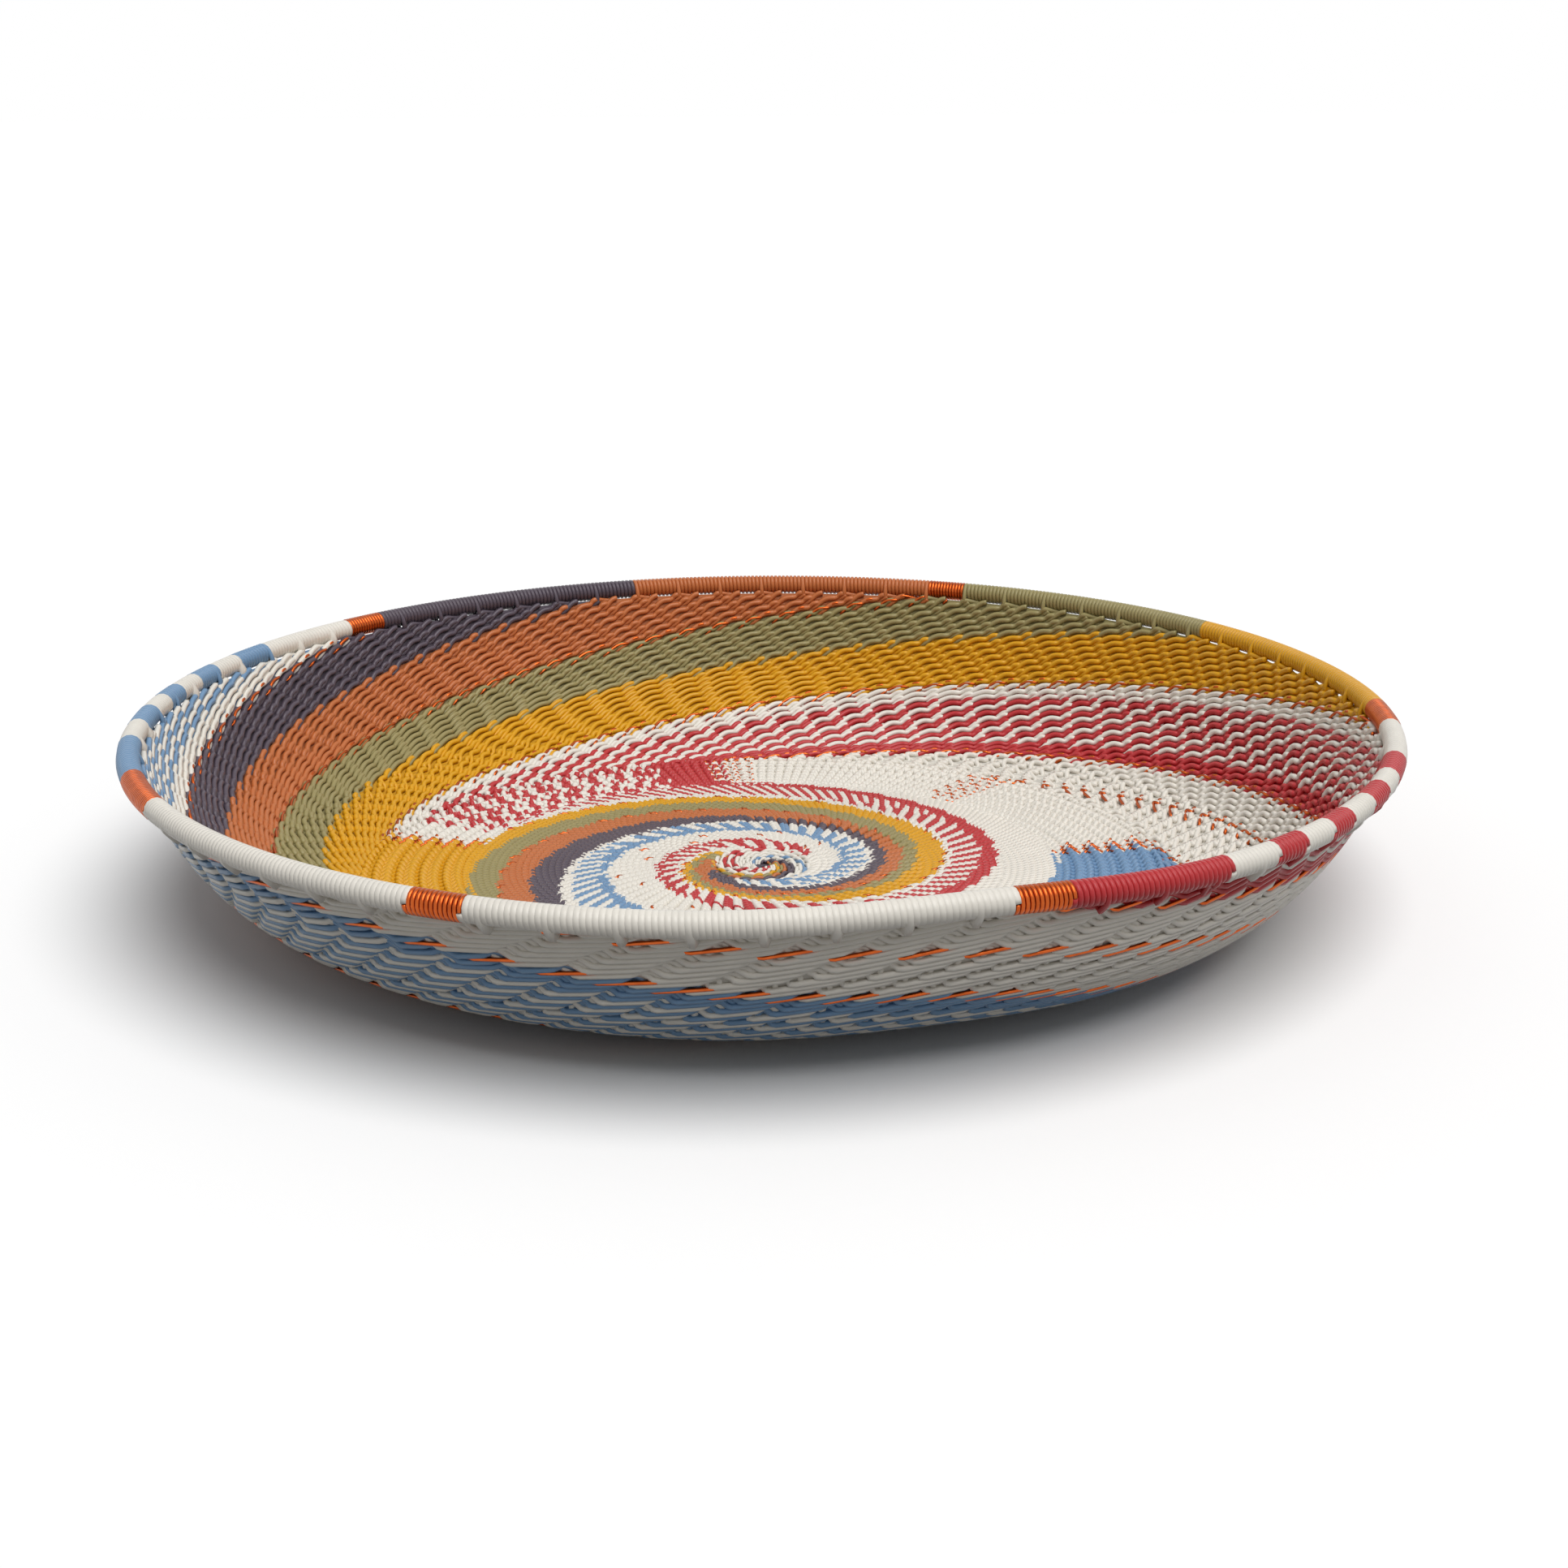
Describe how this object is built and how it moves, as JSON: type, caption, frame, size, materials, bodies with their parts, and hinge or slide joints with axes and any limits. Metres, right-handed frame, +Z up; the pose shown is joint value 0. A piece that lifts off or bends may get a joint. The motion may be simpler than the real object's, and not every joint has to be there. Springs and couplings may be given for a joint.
{
  "type": "woven wire tray",
  "caption": "Round tray hand-woven from coloured plastic-coated wire, with spiral colour bands, a shallow curved wall and a wire-bound hoop rim",
  "frame": {"origin": "on the table, under the middle of the tray", "axes": "+Z is up; -Y is the side that faces the viewer; +X is to the viewer's right"},
  "size_m": [0.2812, 0.281, 0.0429],
  "materials": {
    "mustard_wire": "coated wire, smooth, slightly dusty",
    "olive_wire": "coated wire, smooth",
    "terracotta_wire": "coated wire, smooth",
    "plum_wire": "coated wire, smooth",
    "blue_wire": "coated wire, smooth",
    "white_wire": "coated wire, smooth",
    "red_wire": "coated wire, smooth",
    "copper_wire": "bare drawn copper, bright",
    "steel_wire": "galvanised hoop wire, dull"
  },
  "bodies": {
    "root": {"blue_floor": "blue_wire", "blue_wall": "blue_wire", "mustard_floor": "mustard_wire", "mustard_wall": "mustard_wire", "olive_floor": "olive_wire", "olive_wall": "olive_wire", "plum_floor": "plum_wire", "plum_wall": "plum_wire", "red_floor": "red_wire", "red_wall": "red_wire", "rim_blue_1": "blue_wire", "rim_blue_2": "blue_wire", "rim_blue_3": "blue_wire", "rim_blue_4": "blue_wire", "rim_blue_5": "blue_wire", "rim_copper_1": "copper_wire", "rim_copper_2": "copper_wire", "rim_copper_3": "copper_wire", "rim_copper_4": "copper_wire", "rim_copper_5": "copper_wire", "rim_copper_6": "copper_wire", "rim_hoop": "steel_wire", "rim_mustard_1": "mustard_wire", "rim_olive_1": "olive_wire", "rim_plum_1": "plum_wire", "rim_red_1": "red_wire", "rim_red_2": "red_wire", "rim_red_3": "red_wire", "rim_red_4": "red_wire", "rim_red_5": "red_wire", "rim_terracotta_1": "terracotta_wire", "rim_white_1": "white_wire", "rim_white_10": "white_wire", "rim_white_11": "white_wire", "rim_white_12": "white_wire", "rim_white_2": "white_wire", "rim_white_3": "white_wire", "rim_white_4": "white_wire", "rim_white_5": "white_wire", "rim_white_6": "white_wire", "rim_white_7": "white_wire", "rim_white_8": "white_wire", "rim_white_9": "white_wire", "start_knot": "white_wire", "terracotta_floor": "terracotta_wire", "terracotta_wall": "terracotta_wire", "white_front_floor": "white_wire", "white_front_wall": "white_wire", "white_left_floor": "white_wire", "white_left_wall": "white_wire"}
  },
  "joints": []
}
